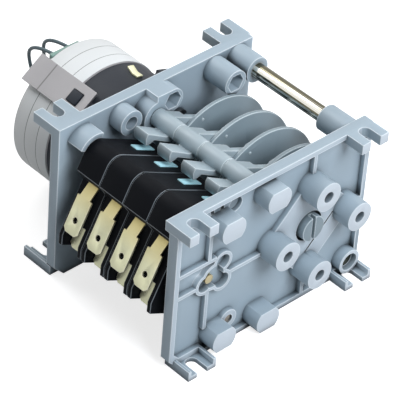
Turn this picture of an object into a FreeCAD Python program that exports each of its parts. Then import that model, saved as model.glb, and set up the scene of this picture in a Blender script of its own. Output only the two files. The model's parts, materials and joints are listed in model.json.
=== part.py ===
import FreeCAD, Part
import math
import os
import re
import Sketcher

# Cam timer: a geared motor turns four programme cams, and each cam works a snap switch
# through a rocking lever. Origin: on the cam shaft, in the plane of the four front pegs.
# X runs away from the switches, Y towards the motor, Z up. Lengths are in millimetres.

SIZES = (
    # moulded end plates
    ("plate_left", -55.8),
    ("plate_right", 24.2),
    ("plate_top", 29.0),
    ("plate_bottom", -29.0),
    ("rim_wall", 1.8),
    ("rim_depth", 1.8),
    ("web_wall", 2.0),
    ("front_rim", 6.9),
    ("plate_gap", 50.85),
    ("foot_corner", 4.0),
    ("shelf_step", 1.9),
    ("shelf_drop", 6.2),
    ("rear_shift", 1.1),
    # fixing ears with open slots
    ("ear_width", 11.2),
    ("ear_thick", 3.6),
    ("ear_slot", 4.2),
    ("ear_slot_end", 4.6),
    ("right_ear_end", 24.0),
    ("rear_right_ear", 26.0),
    ("rear_ear_reach", 8.4),
    ("rear_foot_reach", 10.9),
    ("foot_floor", 1.6),
    ("foot_flange", 1.1),
    # front pegs and the turned square pad that carries them
    ("peg_circle", 15.4),
    ("peg_radius", 5.0),
    ("peg_bore", 1.95),
    ("peg_bore_depth", 8.0),
    ("pad_corner", 19.8),
    ("pad_hole", 5.4),
    ("groove_away", 9.9),
    ("groove_half", 5.5),
    ("groove_width", 0.9),
    ("groove_depth", 0.9),
    ("collar_radius", 6.5),
    ("collar_length", 2.5),
    # closed bosses on the front face
    ("boss_radius", 4.7),
    ("boss_flat", 3.6),
    ("boss_front", 2.0),
    ("boss_b_x", -37.7),
    ("boss_b_z", 20.3),
    ("boss_c_z", -22.5),
    ("boss_d_x", -19.2),
    ("boss_d_z", -24.8),
    ("boss_a_shift", 0.5),
    ("boss_a_rise", 0.9),
    # cluster of three round wells beside the cam shaft
    ("well_rim", 1.1),
    ("well_a_x", -36.3),
    ("well_a_z", 4.5),
    ("well_b_x", -39.6),
    ("well_b_z", 0.4),
    ("well_c_x", -36.1),
    ("well_c_z", -2.8),
    ("well_d_x", -43.1),
    ("well_d_z", -1.0),
    ("well_small", 2.7),
    ("well_large", 3.9),
    ("well_depth", 2.4),
    # ribs and small openings of the front plate
    ("rib_wall", 1.3),
    ("rib_high_z", 7.2),
    ("rib_low_z", -1.1),
    ("rib_x", -42.0),
    ("rib_top", 20.0),
    ("rib_bottom", -19.0),
    ("vent_x", -31.3),
    ("vent_z", 23.0),
    ("vent_radius", 2.6),
    ("slit_a_x", -40.8),
    ("slit_b_x", -36.9),
    ("slit_z", 25.2),
    ("slit_width", 1.4),
    ("slit_height", 2.8),
    # spacer rods between the plates
    ("rod_radius", 2.6),
    ("rod_x", 18.6),
    ("rod_z", 24.4),
    ("low_rod_x", 19.0),
    ("low_rod_z", -23.3),
    ("rod_boss", 4.5),
    ("rod_boss_front", 10.5),
    ("rod_boss_rear", 9.5),
    ("rod_bore_floor", 1.2),
    ("low_ring", 4.3),
    ("low_ring_bore", 3.1),
    ("low_ring_rise", 1.9),
    # moulded tubes on the inner face of the rear plate
    ("tube_a_x", -30.6),
    ("tube_a_z", 24.1),
    ("tube_a_radius", 4.35),
    ("tube_a_bore", 2.3),
    ("tube_b_x", -13.5),
    ("tube_b_z", 24.9),
    ("tube_b_radius", 4.1),
    ("tube_b_left", -20.0),
    ("tube_c_x", 8.6),
    ("tube_c_z", 24.3),
    ("tube_c_radius", 4.4),
    ("tube_c_length", 10.25),
    ("hexagon_reach", 3.3),
    ("hexagon_step", 60.0),
    ("keyed_depth", 8.0),
    ("hub_ring", 5.3),
    ("cradle_wall", 1.7),
    ("cradle_gap", 0.4),
    ("cradle_length", 6.5),
    # stack of four snap switches
    ("pitch", 10.6),
    ("first_centre", 18.8),
    ("switch_width", 10.3),
    ("switch_x", -45.6),
    ("switch_z", 25.8),
    ("switch_tilt", 27.0),
    ("switch_right", 25.6),
    ("switch_left", -2.2),
    ("corner_radius", 4.5),
    ("nose_low", 11.0),
    ("waist_left", 2.4),
    ("waist_top", 13.7),
    ("waist_bottom", 33.0),
    ("toe_left", 4.0),
    ("switch_bottom", 36.6),
    ("side_bottom", 20.0),
    ("lug_shoulder_across", 33.0),
    ("lug_shoulder_down", 26.5),
    ("lug_side", 37.4),
    ("lug_side_top", 31.0),
    ("lug_side_bottom", 36.0),
    ("lug_end_across", 35.0),
    ("lug_bottom", 39.0),
    ("lug_start", 29.6),
    ("recess_top", 27.0),
    ("recess_depth", 6.4),
    ("recess_wall", 1.6),
    ("pin_radius", 1.6),
    ("pin_gap", 0.05),
    ("upper_pin_across", 15.6),
    ("upper_pin_down", 21.0),
    ("lower_pin_across", 33.3),
    ("lower_pin_down", 35.1),
    ("pin_front", 7.3),
    ("pin_boss", 3.4),
    ("stack_gap", 0.15),
    # switch plungers
    ("strip_start", 12.3),
    ("strip_length", 8.4),
    ("strip_width", 3.7),
    ("strip_thick", 0.8),
    ("strip_rise", 0.9),
    ("stem_side", 3.0),
    ("stem_gap", 0.1),
    ("stem_depth", 6.0),
    ("stem_well", 7.5),
    # switch terminals
    ("blade_thick", 0.8),
    ("blade_gap", 0.05),
    ("blade_width", 6.3),
    ("neck_width", 4.4),
    ("neck_top", 12.5),
    ("neck_inner", 9.0),
    ("tab_across", 0.5),
    ("tab_top", 18.0),
    ("tab_bottom", 30.5),
    ("tab_chamfer", 1.2),
    ("tab_hole", 1.0),
    ("tab_hole_down", 25.8),
    ("inner_blade_across", 6.8),
    ("inner_blade_top", 22.0),
    ("inner_blade_bottom", 36.2),
    # rocking levers
    ("pivot_x", -19.8),
    ("pivot_z", 21.6),
    ("lever_shaft_radius", 1.5),
    ("shaft_gap", 0.05),
    ("hub_radius", 3.05),
    ("hub_gap", 0.2),
    ("arm_width", 5.6),
    ("arm_thick", 1.7),
    ("arm_tip_x", -11.2),
    ("arm_tip_z", 3.4),
    ("arm_root_x", -3.2),
    ("arm_root_z", -1.3),
    ("arm_under", 2.5),
    ("lip_radius", 0.8),
    ("lip_across", 15.6),
    ("lip_gap", 0.05),
    ("block_width", 4.3),
    ("block_gap", 0.3),
    ("block_top_x", 8.4),
    ("block_top_z", -1.4),
    ("block_low_x", 7.3),
    ("block_low_z", -4.0),
    ("finger_width", 2.4),
    ("nose_radius", 1.1),
    ("nose_angle", 110.0),
    ("nose_gap", 0.1),
    ("finger_slope", 33.0),
    # cam shaft and programme cams
    ("shaft_radius", 4.0),
    ("shaft_front", 4.7),
    ("shaft_head", 4.5),
    ("shaft_head_gap", 0.3),
    ("shaft_slot", 1.2),
    ("shaft_slot_depth", 2.2),
    ("shoulder_radius", 6.0),
    ("end_play", 0.2),
    ("press_gap", 0.01),
    ("cam_radius", 22.4),
    ("cam_wall", 1.3),
    ("drum_radius", 16.5),
    ("drum_width", 4.6),
    ("valley_depth", 1.8),
    ("valley_flank", 6.0),
    ("spacer_radius", 9.0),
    ("pip_radius", 0.5),
    ("pip_rise", 0.25),
    ("pip_across", 19.5),
    ("valley_start", 101.0),
    ("valley_span", 24.0),
    ("half_turn", 180.0),
    ("notch_a_start", 20.0),
    ("notch_a_span", 45.0),
    ("notch_b_start", 160.0),
    ("notch_b_span", 40.0),
    ("notch_c_start", 325.0),
    ("notch_c_span", 30.0),
    ("notch_d_start", 225.0),
    ("notch_d_span", 35.0),
    # drive coupling and gearbox
    ("coupling_radius", 6.0),
    ("coupling_start", 0.6),
    ("coupling_length", 6.5),
    ("gearbox_well", 6.9),
    ("gearbox_well_gap", 0.6),
    ("motor_x", -14.8),
    ("motor_z", -3.0),
    ("gearbox_radius", 23.5),
    ("gearbox_length", 22.0),
    ("mount_ear_angle", 71.0),
    ("mount_ear_reach", 30.0),
    ("mount_ear_half", 3.6),
    ("mount_ear_start", 2.4),
    ("mount_ear_thick", 3.6),
    ("screw_circle", 18.0),
    ("screw_turn", 60.0),
    ("screw_step", 120.0),
    ("screw_radius", 1.25),
    ("screw_head", 2.6),
    ("screw_head_height", 1.7),
    ("screw_length", 9.0),
    # motor
    ("can_radius", 23.7),
    ("can_wall", 0.8),
    ("can_length", 16.2),
    ("can_port", 4.0),
    ("coil_gap", 0.3),
    ("coil_bore", 9.0),
    ("end_plate_thick", 1.0),
    ("end_plate_inset", 0.2),
    ("label_gap", 0.05),
    ("label_thick", 0.25),
    ("label_start", 0.4),
    ("label_width", 15.4),
    # spring clips over the motor
    ("clip_angle", 126.1),
    ("clip_width", 10.4),
    ("clip_thick", 0.8),
    ("clip_gap", 0.25),
    ("clip_start", 14.2),
    ("clip_fold", 33.2),
    ("clip_end", 39.6),
    ("clip_rise", 1.6),
    ("clip_hole_start", 17.5),
    ("clip_hole_length", 4.6),
    ("clip_hole_width", 4.6),
    ("clip_hook_gap", 0.2),
    ("clip_hook_rise", 0.6),
    # earth tab on the gearbox
    ("earth_angle", 75.8),
    ("earth_start", 12.6),
    ("earth_length", 5.0),
    ("earth_width", 2.6),
    ("earth_thick", 0.7),
    ("earth_lift", 1.1),
    # leads
    ("grommet_left", -23.4),
    ("grommet_right", -11.6),
    ("grommet_low", 15.9),
    ("grommet_high", 19.9),
    ("grommet_thick", 1.4),
    ("lead_radius", 0.6),
    ("tip_radius", 0.5),
    ("tip_length", 6.0),
    ("lead_a_x", -20.8),
    ("lead_a_z", 18.2),
    ("lead_b_x", -14.6),
    ("lead_b_z", 18.2),
)

SWITCH_COUNT = 4
FACE_NORMAL = {"x": ("YZ_Plane", 1), "y": ("XZ_Plane", -1), "z": ("XY_Plane", 1)}

doc = FreeCAD.newDocument("CamTimer")
sheet = doc.addObject("Spreadsheet::Sheet", "Sizes")
for row, (word, number) in enumerate(SIZES, 1):
    sheet.set(f"A{row}", str(number))
    sheet.setAlias(f"A{row}", word)
doc.recompute()


class Size:
    """A number together with the cell formula that gives it."""

    def __init__(self, value, formula):
        self.value = value
        self.formula = formula

    def joined(self, sign, other, value):
        return Size(value, f"({self.formula} {sign} {as_size(other).formula})")

    def __add__(self, other):
        return self.joined("+", other, self.value + as_size(other).value)

    def __sub__(self, other):
        return self.joined("-", other, self.value - as_size(other).value)

    def __mul__(self, other):
        return self.joined("*", other, self.value * as_size(other).value)

    def __truediv__(self, other):
        return self.joined("/", other, self.value / as_size(other).value)

    def __neg__(self):
        return Size(-self.value, f"(-1 * {self.formula})")


def as_size(item):
    return item if isinstance(item, Size) else Size(float(item), repr(float(item)))


def cosine(angle):
    return Size(math.cos(math.radians(angle.value)), f"cos({angle.formula})")


def sine(angle):
    return Size(math.sin(math.radians(angle.value)), f"sin({angle.formula})")


def root(square):
    return Size(math.sqrt(square.value), f"sqrt({square.formula})")


class Named:
    """The sizes of the sheet by name."""


s = Named()
for word, number in SIZES:
    setattr(s, word, Size(float(number), f"Sizes.{word}"))

ZERO = as_size(0)
parts = []


def bind(item, name, size):
    item.setExpression(name, as_size(size).formula)


def polar(radius, angle, x=ZERO, z=ZERO):
    return (x + radius * cosine(angle), z + radius * sine(angle))


# Sketch shapes: a circle is (x, z, radius); an outline is a list of corners, and a corner
# with a third value starts an arc of that radius, anticlockwise when it is positive.

def rectangle(left, low, right, high):
    return [(left, low), (right, low), (right, high), (left, high)]


def flat_disc(x, z, radius, flat):
    """A circle with its top and bottom cut off flat."""
    reach = root(radius * radius - flat * flat)
    return [(x - reach, z + flat), (x + reach, z + flat, -radius),
            (x + reach, z - flat), (x - reach, z - flat, -radius)]


def hexagon(x, z):
    """The outline of a hole for a hexagonal bar."""
    return [polar(s.hexagon_reach, s.hexagon_step * k, x, z) for k in range(6)]


def arc_middle(start, end, radius):
    half_x = (end[0] - start[0]) / 2
    half_z = (end[1] - start[1]) / 2
    chord = math.hypot(half_x, half_z)
    height = math.sqrt(max(radius * radius - chord * chord, 0)) * math.copysign(1, radius)
    middle_x = start[0] + half_x - half_z / chord * height
    middle_z = start[1] + half_z + half_x / chord * height
    return middle_x, middle_z


def fix_point(sketch, item, role, x, z):
    for kind, size in (("DistanceX", x), ("DistanceY", z)):
        size = as_size(size)
        index = sketch.addConstraint(Sketcher.Constraint(kind, -1, 1, item, role, size.value))
        bind(sketch, f"Constraints[{index}]", size)


def fix_radius(sketch, item, radius):
    radius = as_size(radius)
    index = sketch.addConstraint(Sketcher.Constraint("Radius", item, abs(radius.value)))
    bind(sketch, f"Constraints[{index}]", radius if radius.value > 0 else -radius)


def draw_circle(sketch, x, z, radius):
    centre = FreeCAD.Vector(as_size(x).value, as_size(z).value, 0)
    circle = Part.Circle(centre, FreeCAD.Vector(0, 0, 1), as_size(radius).value)
    item = sketch.addGeometry(circle, False)
    fix_point(sketch, item, 3, x, z)
    fix_radius(sketch, item, radius)


def draw_outline(sketch, corners):
    spots = [(as_size(c[0]).value, as_size(c[1]).value) for c in corners]
    ends = []
    for index, corner in enumerate(corners):
        start = spots[index]
        end = spots[(index + 1) % len(spots)]
        if len(corner) == 2:
            line = Part.LineSegment(FreeCAD.Vector(*start, 0), FreeCAD.Vector(*end, 0))
            ends.append((sketch.addGeometry(line, False), 1, 2))
            continue
        radius = corner[2].value
        middle = arc_middle(start, end, radius)
        circle = Part.Circle(FreeCAD.Vector(*middle, 0), FreeCAD.Vector(0, 0, 1), abs(radius))
        first, last = (start, end) if radius > 0 else (end, start)
        low = math.atan2(first[1] - middle[1], first[0] - middle[0])
        high = math.atan2(last[1] - middle[1], last[0] - middle[0])
        if high < low:
            high += 2 * math.pi
        item = sketch.addGeometry(Part.ArcOfCircle(circle, low, high), False)
        ends.append((item, 1, 2) if radius > 0 else (item, 2, 1))
    for index, corner in enumerate(corners):
        item, role, _ = ends[index]
        before, _, before_role = ends[index - 1]
        sketch.addConstraint(Sketcher.Constraint("Coincident", before, before_role, item, role))
        fix_point(sketch, item, role, corner[0], corner[1])
        if len(corner) == 3:
            fix_radius(sketch, item, corner[2])


def add_sketch(body, axis, level, shapes):
    role, sign = FACE_NORMAL[axis]
    sketch = body.newObject("Sketcher::SketchObject", body.Name + "_sketch")
    face = [item for item in body.Origin.OriginFeatures if item.Role == role][0]
    sketch.AttachmentSupport = [(face, "")]
    sketch.MapMode = "FlatFace"
    bind(sketch, "AttachmentOffset.Base.z", as_size(level) * sign)
    for shape in shapes:
        if isinstance(shape, tuple):
            draw_circle(sketch, *shape)
        else:
            draw_outline(sketch, shape)
    return sketch


def ordered(start, end):
    start = as_size(start)
    end = as_size(end)
    return (start, end) if start.value < end.value else (end, start)


def pad(body, axis, start, end, *shapes):
    """Material between two levels along an axis."""
    low, high = ordered(start, end)
    feature = body.newObject("PartDesign::Pad", body.Name + "_pad")
    feature.Profile = add_sketch(body, axis, low, shapes)
    feature.Reversed = axis == "y"
    bind(feature, "Length", high - low)


def cut(body, axis, start, end, *shapes):
    """An opening between two levels along an axis."""
    low, high = ordered(start, end)
    feature = body.newObject("PartDesign::Pocket", body.Name + "_pocket")
    feature.Profile = add_sketch(body, axis, low if axis == "y" else high, shapes)
    bind(feature, "Length", high - low)


def place(item, x=ZERO, y=ZERO, z=ZERO, turn=None):
    """Puts a piece at its place, turned about an axis along Y."""
    angle = as_size(turn).value if turn is not None else 0
    rotation = FreeCAD.Rotation(FreeCAD.Vector(0, 1, 0), angle)
    spot = FreeCAD.Vector(as_size(x).value, as_size(y).value, as_size(z).value)
    item.Placement = FreeCAD.Placement(spot, rotation)
    for name, size in (("x", x), ("y", y), ("z", z)):
        bind(item, "Placement.Base." + name, size)
    if turn is not None:
        bind(item, "Placement.Rotation.Angle", turn)


def new_body(name):
    body = doc.addObject("PartDesign::Body", name)
    body.Label = name
    parts.append(body)
    return body


def round_bar(name, x, z, start, end, radius):
    """A plain round bar along Y."""
    bar = doc.addObject("Part::Cylinder", name)
    bar.Label = name
    rotation = FreeCAD.Rotation(FreeCAD.Vector(1, 0, 0), -90)
    bar.Placement = FreeCAD.Placement(FreeCAD.Vector(0, 0, 0), rotation)
    bind(bar, "Placement.Base.x", x)
    bind(bar, "Placement.Base.y", start)
    bind(bar, "Placement.Base.z", z)
    bind(bar, "Radius", radius)
    bind(bar, "Height", end - start)
    parts.append(bar)


# Levels along the shaft, from the front pegs to the rear ears
front_web = s.front_rim + s.rim_depth
front_inner = front_web + s.web_wall
rear_inner = front_inner + s.plate_gap
rear_web = rear_inner + s.web_wall
rear_rim = rear_web + s.rim_depth
rear_ear = rear_rim + s.rear_ear_reach
rear_foot = rear_rim + s.rear_foot_reach
rear_left = s.plate_left + s.rear_shift
half_switch = s.switch_width / 2
last_centre = s.first_centre + s.pitch * (SWITCH_COUNT - 1)
stack_front = s.first_centre - half_switch - s.stack_gap
stack_rear = last_centre + half_switch + s.stack_gap
hub_half = (s.pitch - s.hub_gap) / 2
hubs_front = s.first_centre - hub_half - s.hub_gap
hubs_rear = last_centre + hub_half + s.hub_gap
collar_end = front_inner + s.collar_length


def from_switch(across, down):
    """A point of the tilted switch in the frame of the whole timer."""
    x = s.switch_x + across * cosine(s.switch_tilt) - down * sine(s.switch_tilt)
    z = s.switch_z - across * sine(s.switch_tilt) - down * cosine(s.switch_tilt)
    return x, z


upper_pin = from_switch(s.upper_pin_across, s.upper_pin_down)
lower_pin = from_switch(s.lower_pin_across, s.lower_pin_down)


def plate_outline(inset):
    """The front plate, with a cut lower left corner and a stepped shelf."""
    left = s.plate_left + inset
    right = s.plate_right - inset
    low = s.plate_bottom + inset
    high = s.plate_top - inset
    shelf = left - s.shelf_step
    return [(left + s.foot_corner, low), (right, low), (right, high), (shelf, high),
            (shelf, high - s.shelf_step), (left, high - s.shelf_drop),
            (left, low + s.foot_corner)]


def rear_outline(inset):
    """The rear plate, a little to the right of the front one and without a shelf."""
    left = rear_left + inset
    right = s.plate_right + s.rear_shift - inset
    low = s.plate_bottom + inset
    high = s.plate_top - inset
    return [(left + s.foot_corner, low), (right, low), (right, high), (left, high),
            (left, low + s.foot_corner)]


def add_ear(body, left, low, rim, end):
    """A fixing ear from its plate to its end, with a slot open to the end."""
    sign = as_size(1 if end.value > rim.value else -1)
    half_slot = s.ear_slot / 2
    turn = end - sign * s.ear_slot_end
    middle = left + s.ear_width / 2
    high = low + s.ear_thick
    pad(body, "y", rim, end, rectangle(left, low, left + s.ear_width, high))
    cut(body, "z", low, high, (middle, turn, half_slot))
    near, far = ordered(turn, end)
    cut(body, "z", low, high, rectangle(middle - half_slot, near, middle + half_slot, far))


def hollow_foot(body, left, start, end):
    """Takes the upper part out of a foot, so that a flange stays along its sides."""
    near, far = ordered(start, end)
    cut(body, "z", s.plate_bottom + s.foot_floor, s.plate_bottom + s.ear_thick,
        rectangle(left + s.foot_flange, near, left + s.ear_width - s.foot_flange, far))


def add_front_pegs(body):
    """The turned square pad with a peg near each corner."""
    corners = [polar(s.pad_corner, as_size(90 * k)) for k in range(4)]
    pegs = [polar(s.peg_circle, as_size(90 * k)) for k in range(4)]
    pad(body, "y", s.front_rim, front_inner, corners)
    for x, z in pegs:
        pad(body, "y", ZERO, front_inner, (x, z, s.peg_radius))
    cut(body, "y", ZERO, s.peg_bore_depth, *[(x, z, s.peg_bore) for x, z in pegs])
    cut(body, "y", s.front_rim, front_web, (ZERO, ZERO, s.pad_hole))
    groove_x = (s.groove_away - s.groove_width) / 2
    groove_z = -s.groove_away / 2
    cut(body, "y", s.front_rim, s.front_rim + s.groove_depth,
        [(groove_x - s.groove_half, groove_z - s.groove_half),
         (groove_x + s.groove_width - s.groove_half, groove_z - s.groove_half),
         (groove_x + s.groove_width + s.groove_half, groove_z + s.groove_half),
         (groove_x + s.groove_half, groove_z + s.groove_half)])
    pad(body, "y", front_inner, collar_end, (ZERO, ZERO, s.collar_radius))
    cut(body, "y", front_web, collar_end, (ZERO, ZERO, s.shaft_radius + s.shaft_gap))


def add_front_bosses(body):
    """Closed bosses that hold the ends of the pins and of the lever shaft."""
    spots = (
        (s.pivot_x + s.boss_a_shift, s.pivot_z + s.boss_a_rise),
        (s.boss_b_x, s.boss_b_z),
        (s.boss_b_x, s.boss_c_z),
        (s.boss_d_x, s.boss_d_z),
    )
    for x, z in spots:
        pad(body, "y", s.boss_front, front_inner, flat_disc(x, z, s.boss_radius, s.boss_flat))


def add_wells(body):
    """Three round wells round a fourth in one raised cluster, the middle one around a pin."""
    wells = (
        (s.well_a_x, s.well_a_z, s.well_small),
        (s.well_b_x, s.well_b_z, s.well_large),
        (s.well_c_x, s.well_c_z, s.well_small),
        (s.well_d_x, s.well_d_z, s.well_small),
    )
    for x, z, radius in wells:
        pad(body, "y", s.front_rim, front_inner, (x, z, radius + s.well_rim))
    for x, z, radius in wells:
        cut(body, "y", s.front_rim, s.front_rim + s.well_depth, (x, z, radius))


def add_front_ribs(body):
    half = s.rib_wall / 2
    well_left = s.well_b_x - s.well_large
    well_right = s.well_b_x + s.well_large
    bars = (
        (s.plate_left, s.rib_high_z - half, s.well_a_x - s.well_small, s.rib_high_z + half),
        (s.plate_left, s.rib_low_z - half, well_left, s.rib_low_z + half),
        (well_right, s.rib_low_z - half, -s.peg_circle, s.rib_low_z + half),
        (s.rib_x - half, s.rib_high_z, s.rib_x + half, s.rib_top),
        (s.rib_x - half, s.rib_bottom, s.rib_x + half, s.well_d_z - s.well_small),
        (s.peg_circle, -half, s.plate_right, half),
        (-half, s.peg_circle, half, s.plate_top),
        (-half, s.plate_bottom, half, -s.peg_circle),
    )
    for left, low, right, high in bars:
        pad(body, "y", s.front_rim, front_inner, rectangle(left, low, right, high))


def front_plate():
    body = new_body("front_plate")
    pad(body, "y", s.front_rim, front_inner, plate_outline(ZERO))
    cut(body, "y", s.front_rim, front_web, plate_outline(s.rim_wall))
    high_ear = s.plate_top - s.ear_thick
    right_ear = s.right_ear_end - s.ear_width
    add_ear(body, s.plate_left - s.shelf_step, high_ear, front_inner, ZERO)
    add_ear(body, right_ear, high_ear, front_inner, ZERO)
    for left in (s.plate_left + s.shelf_step, right_ear):
        add_ear(body, left, s.plate_bottom, front_inner, ZERO)
        hollow_foot(body, left, s.front_rim, ZERO)
    add_front_ribs(body)
    add_wells(body)
    add_front_bosses(body)
    low_ring = (s.low_rod_x, s.low_rod_z)
    pad(body, "y", s.front_rim - s.low_ring_rise, front_inner, (*low_ring, s.low_ring))
    cut(body, "y", s.front_rim - s.low_ring_rise, s.front_rim, (*low_ring, s.low_ring_bore))
    pad(body, "y", s.front_rim, front_inner, (*lower_pin, s.pin_boss))
    pad(body, "y", front_inner, stack_front, (*upper_pin, s.pin_boss))
    pad(body, "y", front_inner, stack_front, (*lower_pin, s.pin_boss))
    pad(body, "y", front_inner, hubs_front, (s.pivot_x, s.pivot_z, s.hub_radius))
    boss_end = front_inner + s.rod_boss_front
    pad(body, "y", front_inner, boss_end, (s.rod_x, s.rod_z, s.rod_boss))
    pad(body, "y", front_inner, boss_end, (*low_ring, s.rod_boss))
    add_front_pegs(body)
    bore_floor = s.front_rim + s.rod_bore_floor
    rod_bore = s.rod_radius + s.press_gap
    cut(body, "y", bore_floor, boss_end, (s.rod_x, s.rod_z, rod_bore))
    cut(body, "y", s.front_rim - s.low_ring_rise, boss_end, (*low_ring, rod_bore))
    pin_bore = s.pin_radius + s.press_gap
    cut(body, "y", s.front_rim, stack_front, (*upper_pin, pin_bore))
    cut(body, "y", s.front_rim, stack_front, (*lower_pin, pin_bore))
    shaft_bore = s.lever_shaft_radius + s.press_gap
    cut(body, "y", s.front_rim, hubs_front, (s.pivot_x, s.pivot_z, shaft_bore))
    cut(body, "y", front_web, front_inner, (s.vent_x, s.vent_z, s.vent_radius))
    for x in (s.slit_a_x, s.slit_b_x):
        half_wide = s.slit_width / 2
        half_high = s.slit_height / 2
        cut(body, "y", front_web, front_inner,
            rectangle(x - half_wide, s.slit_z - half_high, x + half_wide, s.slit_z + half_high))
    place(body)


def add_cradle(body):
    """The curved wall that holds the rounded corner of the last switch."""
    x, z = from_switch(s.switch_left + s.corner_radius, s.corner_radius)
    inner = s.corner_radius + s.cradle_gap
    outer = inner + s.cradle_wall
    start = as_size(90) - s.switch_tilt
    end = as_size(180) - s.switch_tilt
    low_in = polar(inner, start, x, z)
    low_out = polar(outer, start, x, z)
    high_out = polar(outer, end, x, z)
    high_in = polar(inner, end, x, z)
    wall = [low_in, (*low_out, outer), high_out, (*high_in, -inner)]
    pad(body, "y", rear_inner - s.cradle_length, rear_inner, wall)


def rear_plate():
    body = new_body("rear_plate")
    pad(body, "y", rear_inner, rear_rim, rear_outline(ZERO))
    cut(body, "y", rear_web, rear_rim, rear_outline(s.rim_wall))
    for left in (rear_left, s.rear_right_ear - s.ear_width):
        add_ear(body, left, s.plate_top - s.ear_thick, rear_web, rear_ear)
        add_ear(body, left, s.plate_bottom, rear_web, rear_foot)
        hollow_foot(body, left, rear_rim, rear_foot)
    pad(body, "y", stack_rear, rear_inner, (s.tube_a_x, s.tube_a_z, s.tube_a_radius))
    cut(body, "y", stack_rear, rear_inner, (s.tube_a_x, s.tube_a_z, s.tube_a_bore))
    housing_top = s.tube_b_z + s.tube_b_radius
    bridge = rectangle(s.tube_b_left, s.pivot_z, s.tube_b_x, housing_top)
    pad(body, "y", hubs_rear, rear_inner, (s.tube_b_x, s.tube_b_z, s.tube_b_radius))
    pad(body, "y", hubs_rear, rear_inner, (s.pivot_x, s.pivot_z, s.hub_ring))
    pad(body, "y", hubs_rear, rear_inner, bridge)
    add_cradle(body)
    tube_c_end = rear_inner - s.tube_c_length
    pad(body, "y", tube_c_end, rear_inner, (s.tube_c_x, s.tube_c_z, s.tube_c_radius))
    cut(body, "y", hubs_rear, hubs_rear + s.keyed_depth - s.web_wall,
        hexagon(s.tube_b_x, s.tube_b_z))
    cut(body, "y", tube_c_end, tube_c_end + s.keyed_depth,
        hexagon(s.tube_c_x, s.tube_c_z))
    boss_end = rear_inner - s.rod_boss_rear
    for x, z in ((s.rod_x, s.rod_z), (s.low_rod_x, s.low_rod_z)):
        pad(body, "y", boss_end, rear_inner, (x, z, s.rod_boss))
        cut(body, "y", boss_end, rear_web, (x, z, s.rod_radius + s.press_gap))
    for x, z in (upper_pin, lower_pin):
        pad(body, "y", stack_rear, rear_inner, (x, z, s.pin_boss))
        cut(body, "y", stack_rear, rear_web, (x, z, s.pin_radius + s.press_gap))
    shaft_bore = s.lever_shaft_radius + s.press_gap
    cut(body, "y", hubs_rear, rear_web, (s.pivot_x, s.pivot_z, shaft_bore))
    cut(body, "y", rear_inner, rear_web, (ZERO, ZERO, s.shaft_radius + s.shaft_gap))
    cut(body, "y", rear_inner, rear_web, *[(*spot, s.screw_radius) for spot in screw_spots()])
    place(body)


def screw_spots():
    return [polar(s.screw_circle, s.screw_turn + s.screw_step * k, s.motor_x, s.motor_z)
            for k in range(3)]


def switch_level(k):
    return s.first_centre + s.pitch * k


def place_in_switch(body, k):
    place(body, s.switch_x, switch_level(k), s.switch_z, s.switch_tilt)


def neck_profile(gap):
    """Side view of the bent terminal strip, grown by a gap on both sides."""
    thick = s.blade_thick
    tab = s.tab_across
    return [(s.neck_inner + gap, -s.neck_top + gap),
            (s.waist_left - gap, -s.neck_top + gap),
            (tab - gap, -s.tab_top),
            (tab + thick + gap, -s.tab_top),
            (s.waist_left + thick / 2, -s.neck_top - thick - gap),
            (s.neck_inner + gap, -s.neck_top - thick - gap)]


def switch_housing(k):
    body = new_body(f"switch_housing_{k + 1}")
    corner = s.corner_radius
    outline = [
        (s.switch_left + corner, ZERO, corner),
        (s.switch_left, -corner),
        (s.switch_left, -s.nose_low),
        (s.waist_left, -s.waist_top),
        (s.waist_left, -s.waist_bottom),
        (s.toe_left, -s.switch_bottom),
        (s.lug_start, -s.switch_bottom),
        (s.lug_start + s.lug_bottom - s.switch_bottom, -s.lug_bottom),
        (s.lug_end_across, -s.lug_bottom),
        (s.lug_side, -s.lug_side_bottom),
        (s.lug_side, -s.lug_side_top),
        (s.lug_shoulder_across, -s.lug_shoulder_down),
        (s.switch_right, -s.side_bottom),
        (s.switch_right, ZERO),
    ]
    pad(body, "y", -half_switch, half_switch, outline)
    bore = s.pin_radius + s.pin_gap
    cut(body, "y", -half_switch, half_switch,
        (s.upper_pin_across, -s.upper_pin_down, bore),
        (s.lower_pin_across, -s.lower_pin_down, bore))
    recess = half_switch - s.recess_wall
    cut(body, "y", -recess, recess,
        rectangle(s.switch_left, -s.switch_bottom, s.waist_left + s.recess_depth, -s.recess_top))
    half_neck = s.neck_width / 2 + s.blade_gap
    cut(body, "y", -half_neck, half_neck, neck_profile(s.blade_gap))
    half_blade = s.blade_width / 2 + s.blade_gap
    cut(body, "y", -half_blade, half_blade,
        rectangle(s.inner_blade_across - s.blade_gap, -s.recess_top,
                  s.inner_blade_across + s.blade_thick + s.blade_gap, -s.inner_blade_top))
    half_stem = s.stem_side / 2 + s.stem_gap
    middle = s.strip_start + s.strip_length / 2
    cut(body, "z", -s.stem_well, ZERO,
        rectangle(middle - half_stem, -half_stem, middle + half_stem, half_stem))
    place_in_switch(body, k)


def switch_plunger(k):
    body = new_body(f"switch_plunger_{k + 1}")
    half_width = s.strip_width / 2
    half_stem = s.stem_side / 2
    middle = s.strip_start + s.strip_length / 2
    under = s.strip_rise - s.strip_thick
    pad(body, "z", under, s.strip_rise,
        rectangle(s.strip_start, -half_width, s.strip_start + s.strip_length, half_width))
    pad(body, "z", -s.stem_depth, under,
        rectangle(middle - half_stem, -half_stem, middle + half_stem, half_stem))
    place_in_switch(body, k)


def blade_outline(top, bottom):
    """A flat blade with a chamfered tip, seen face on."""
    half = s.blade_width / 2
    cut_side = half - s.tab_chamfer
    return [(-half, -top), (-half, -(bottom - s.tab_chamfer)), (-cut_side, -bottom),
            (cut_side, -bottom), (half, -(bottom - s.tab_chamfer)), (half, -top)]


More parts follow.
